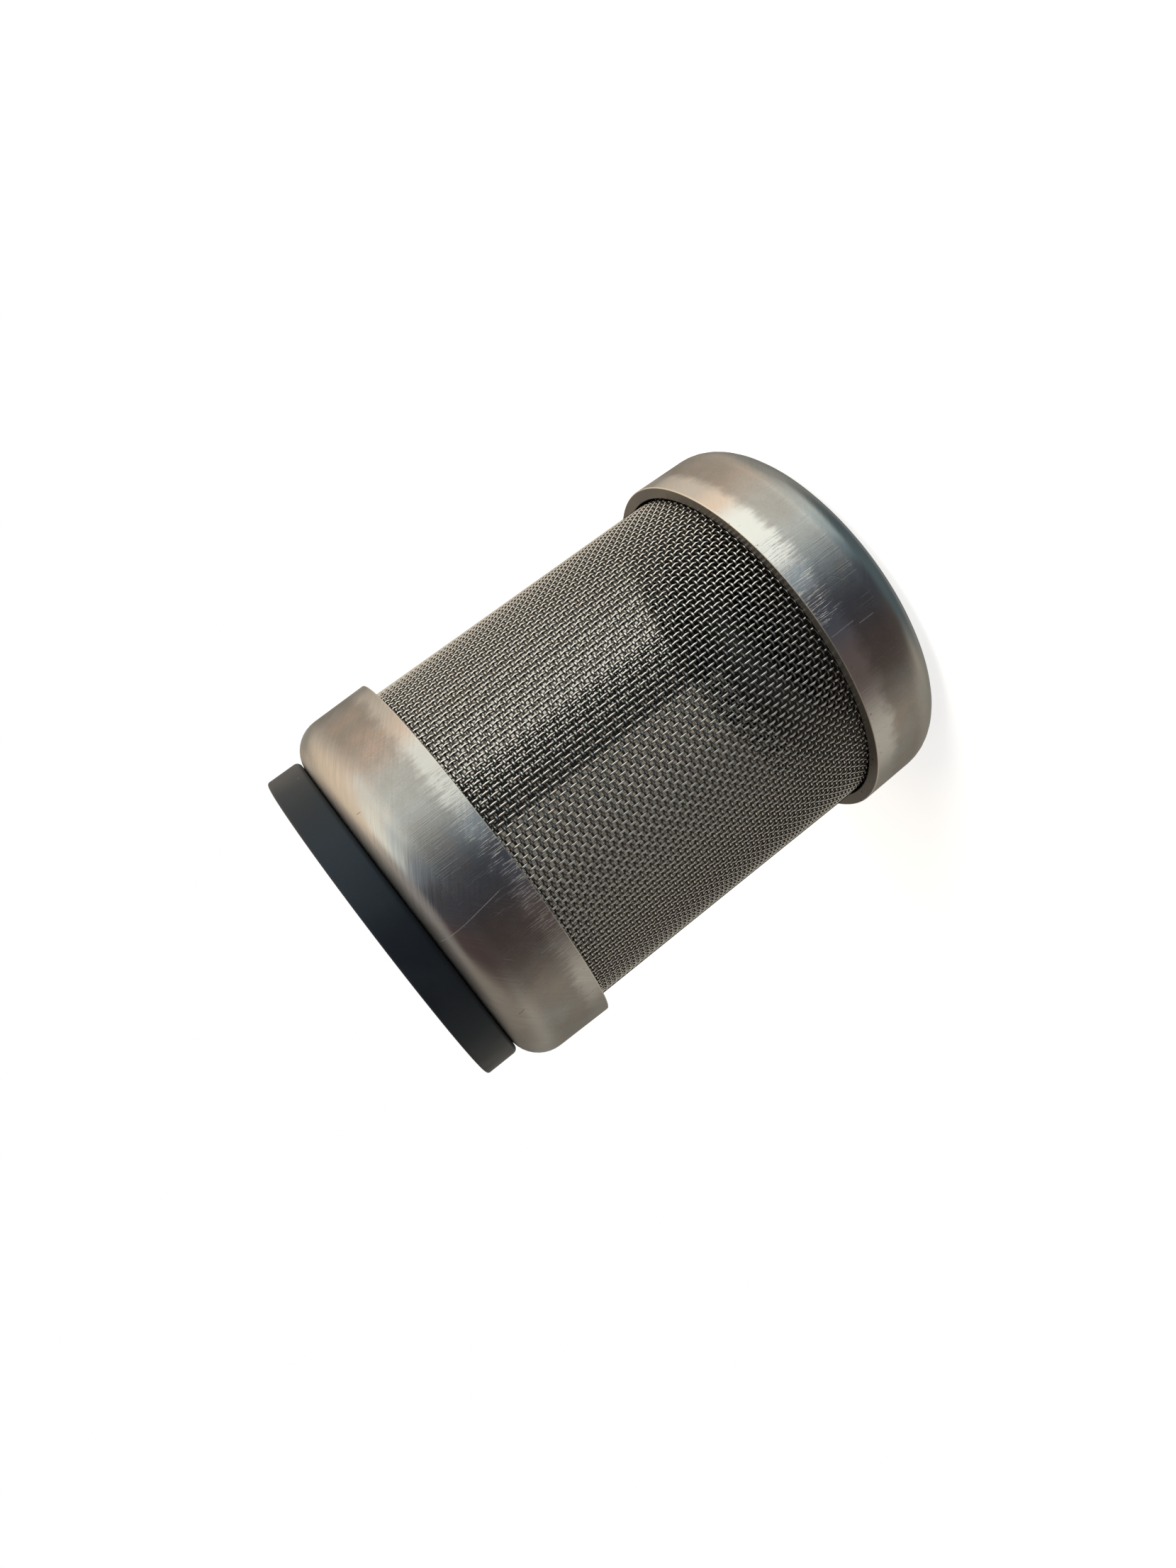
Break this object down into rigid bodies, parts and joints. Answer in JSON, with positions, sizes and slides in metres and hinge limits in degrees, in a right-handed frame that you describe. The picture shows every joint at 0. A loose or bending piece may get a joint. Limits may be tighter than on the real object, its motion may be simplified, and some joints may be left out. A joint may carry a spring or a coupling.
{
  "type": "hydraulic filter",
  "caption": "Woven-wire suction filter for hydraulic oil, with pressed end caps and a rubber seal ring around its port.",
  "frame": {"origin": "centre of the closed cap's end face, which stands on z = 0", "axes": "+Z along the tube towards the seal ring; -Y is the side that the picture shows"},
  "size_m": [0.044, 0.044, 0.0619],
  "materials": {
    "cap_steel": "satin, fine draw lines and light scratches",
    "wire_cloth": "bright drawn wire",
    "seal_rubber": "matt moulded",
    "potting": "cast adhesive"
  },
  "bodies": {
    "root": {"closed_end_cap": "cap_steel", "open_end_cap": "cap_steel", "mesh_screen": "wire_cloth", "seal_ring": "seal_rubber", "closed_end_potting": "potting", "open_end_potting": "potting"}
  },
  "joints": []
}
